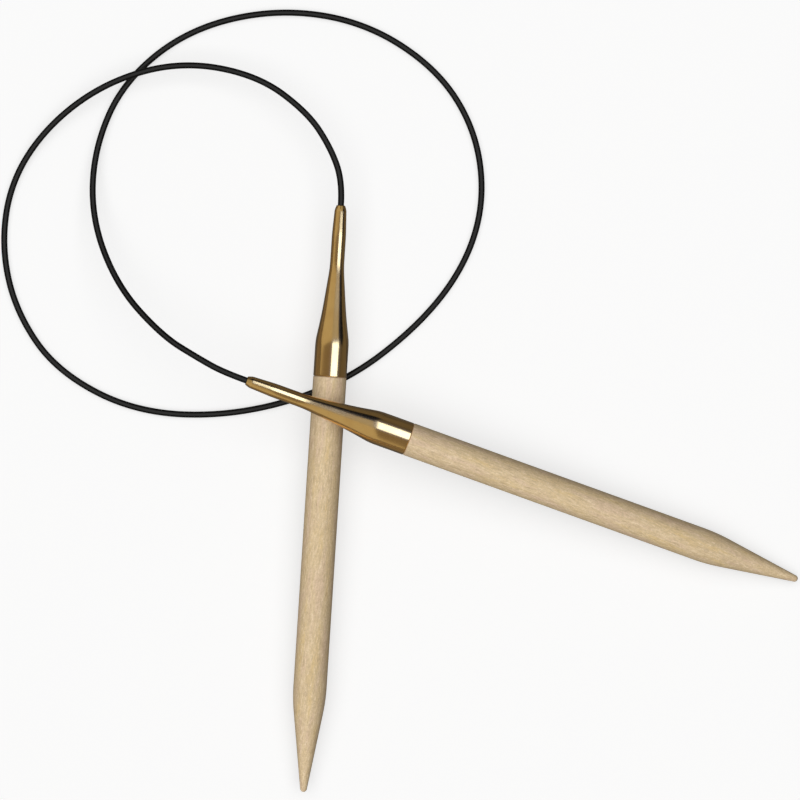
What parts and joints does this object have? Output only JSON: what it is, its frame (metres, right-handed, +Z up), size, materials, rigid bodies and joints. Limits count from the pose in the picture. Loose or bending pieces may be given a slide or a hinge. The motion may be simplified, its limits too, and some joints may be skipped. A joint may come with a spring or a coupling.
{
  "type": "circular knitting needle",
  "caption": "Circular knitting needle: two tapered wooden points in slim flared brass ferrules, joined by a long black nylon cord.",
  "frame": {"origin": "centre of the two needles' bounding box in plan, on the surface that they and the cord lie on", "axes": "+Z up from that surface; +Y along the needles' longest extent, against the direction that needle A's point looks; +X to the side that needle B's point looks"},
  "size_m": [0.1913, 0.1883, 0.0158],
  "materials": {
    "wood": "satin",
    "brass": "polished",
    "crimp": "satin",
    "nylon": "satin"
  },
  "bodies": {
    "cord": {"cord": "nylon"},
    "needle_a": {"needle_a_shaft": "wood", "needle_a_ferrule": "brass", "needle_a_cord_end": "nylon", "needle_a_cord_stop": "crimp"},
    "needle_b": {"needle_b_shaft": "wood", "needle_b_ferrule": "brass", "needle_b_cord_end": "nylon", "needle_b_cord_stop": "crimp"}
  },
  "joints": [
    {"name": "needle_a_swing", "type": "hinge", "parent": "cord", "child": "needle_a", "pos_m": [-0.04354, 0.07109, 0.00726], "axis": [0, 0, -1], "range_deg": [0, 18], "stiffness_Nm_per_rad": 0.01},
    {"name": "needle_b_swing", "type": "hinge", "parent": "cord", "child": "needle_b", "pos_m": [-0.06662, 0.02865, 0.0146], "axis": [0.0605, -0.0961, 0.9935], "range_deg": [0, 60], "stiffness_Nm_per_rad": 0.01}
  ]
}
